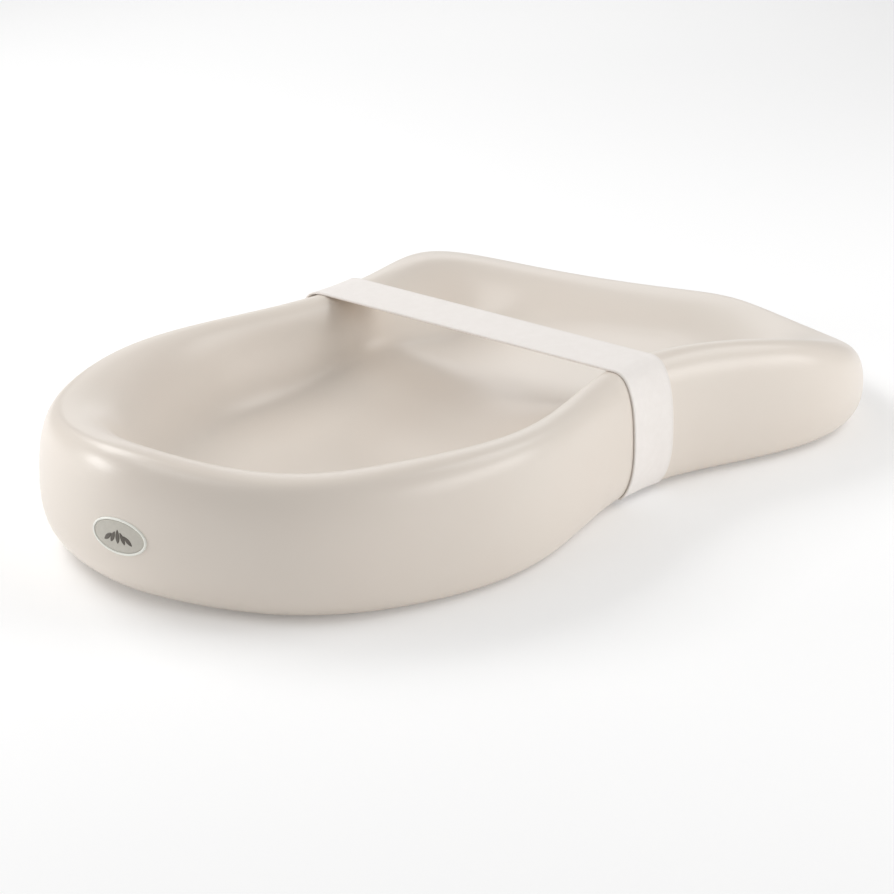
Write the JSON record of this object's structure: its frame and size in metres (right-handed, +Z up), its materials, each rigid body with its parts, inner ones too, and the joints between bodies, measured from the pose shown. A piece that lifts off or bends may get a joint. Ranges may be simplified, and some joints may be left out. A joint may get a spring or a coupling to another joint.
{
  "type": "changing pad",
  "caption": "Waisted, dished changing pad of moulded foam with a raised rim, a waist strap with a hook-and-loop end, an oval badge and rubber feet.",
  "frame": {"origin": "middle of the footprint, on the surface that the rubber feet stand on", "axes": "+X from the head end to the foot end, +Z up, -Y is the side that the strap is opened towards"},
  "size_m": [0.8137, 0.4498, 0.122],
  "materials": {
    "skin": "satin moulded polyurethane skin",
    "foam": "moulded polyurethane foam",
    "board": "birch plywood",
    "brass": "machined",
    "steel": "zinc plated",
    "webbing": "woven polyester webbing",
    "hook_tape": "hook fastener tape",
    "loop_tape": "loop fastener tape",
    "badge_rim": "moulded rim",
    "badge_plate": "moulded plate",
    "badge_motif": "printed relief",
    "foot_rubber": "moulded rubber"
  },
  "bodies": {
    "pad": {"outer_skin": "skin", "foam_core": "foam", "anchor_board": "board", "strap_insert_near": "brass", "strap_insert_far": "brass", "strap_screw_near": "steel", "strap_screw_far": "steel", "strap_washer_near": "steel", "strap_washer_far": "steel", "strap_near_run": "webbing", "strap_far_anchor": "webbing", "loop_tape": "loop_tape", "badge_rim": "badge_rim", "badge_plate": "badge_plate", "badge_motif": "badge_motif", "base_foot_head_near": "foot_rubber", "base_foot_head_far": "foot_rubber", "base_foot_foot_near": "foot_rubber", "base_foot_foot_far": "foot_rubber"},
    "strap_top": {"strap_top_run": "webbing"},
    "strap_end": {"strap_end_run": "webbing", "hook_tape": "hook_tape"}
  },
  "joints": [
    {"name": "strap_swing", "type": "hinge", "parent": "pad", "child": "strap_top", "pos_m": [0.028, -0.15871, 0.1213], "axis": [1, 0, 0], "range_deg": [0, 180]},
    {"name": "strap_end_peel", "type": "hinge", "parent": "strap_top", "child": "strap_end", "pos_m": [0.028, 0.15871, 0.1213], "axis": [1, 0, 0], "range_deg": [0, 100]}
  ]
}
